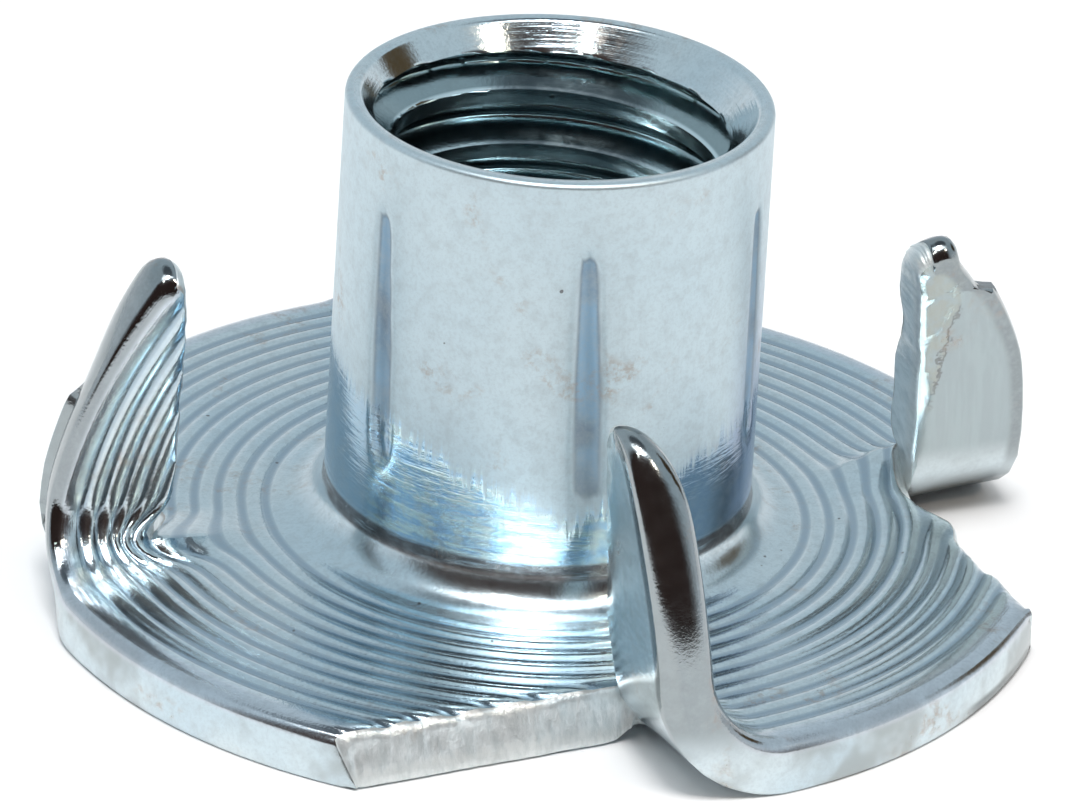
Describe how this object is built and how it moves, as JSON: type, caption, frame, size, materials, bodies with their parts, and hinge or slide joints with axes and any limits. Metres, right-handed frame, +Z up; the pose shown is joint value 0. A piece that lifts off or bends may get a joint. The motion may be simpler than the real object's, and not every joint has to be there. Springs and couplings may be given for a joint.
{
  "type": "tee nut",
  "caption": "Zinc-plated tee nut pressed from sheet steel: tapped barrel on a ringed flange whose rim is sheared and folded up into prongs.",
  "frame": {"origin": "on the axis of the bore, at the underside of the flange", "axes": "+Z up the barrel, the way the prongs point; +X along the fold line of the prong with the chipped tip"},
  "size_m": [0.0214, 0.0214, 0.0106],
  "materials": {
    "zinc_plated_steel": "bright bluish zinc plating over drawn and tapped steel, duller on the sheared edges"
  },
  "bodies": {
    "root": {"tee_nut": "zinc_plated_steel"}
  },
  "joints": []
}
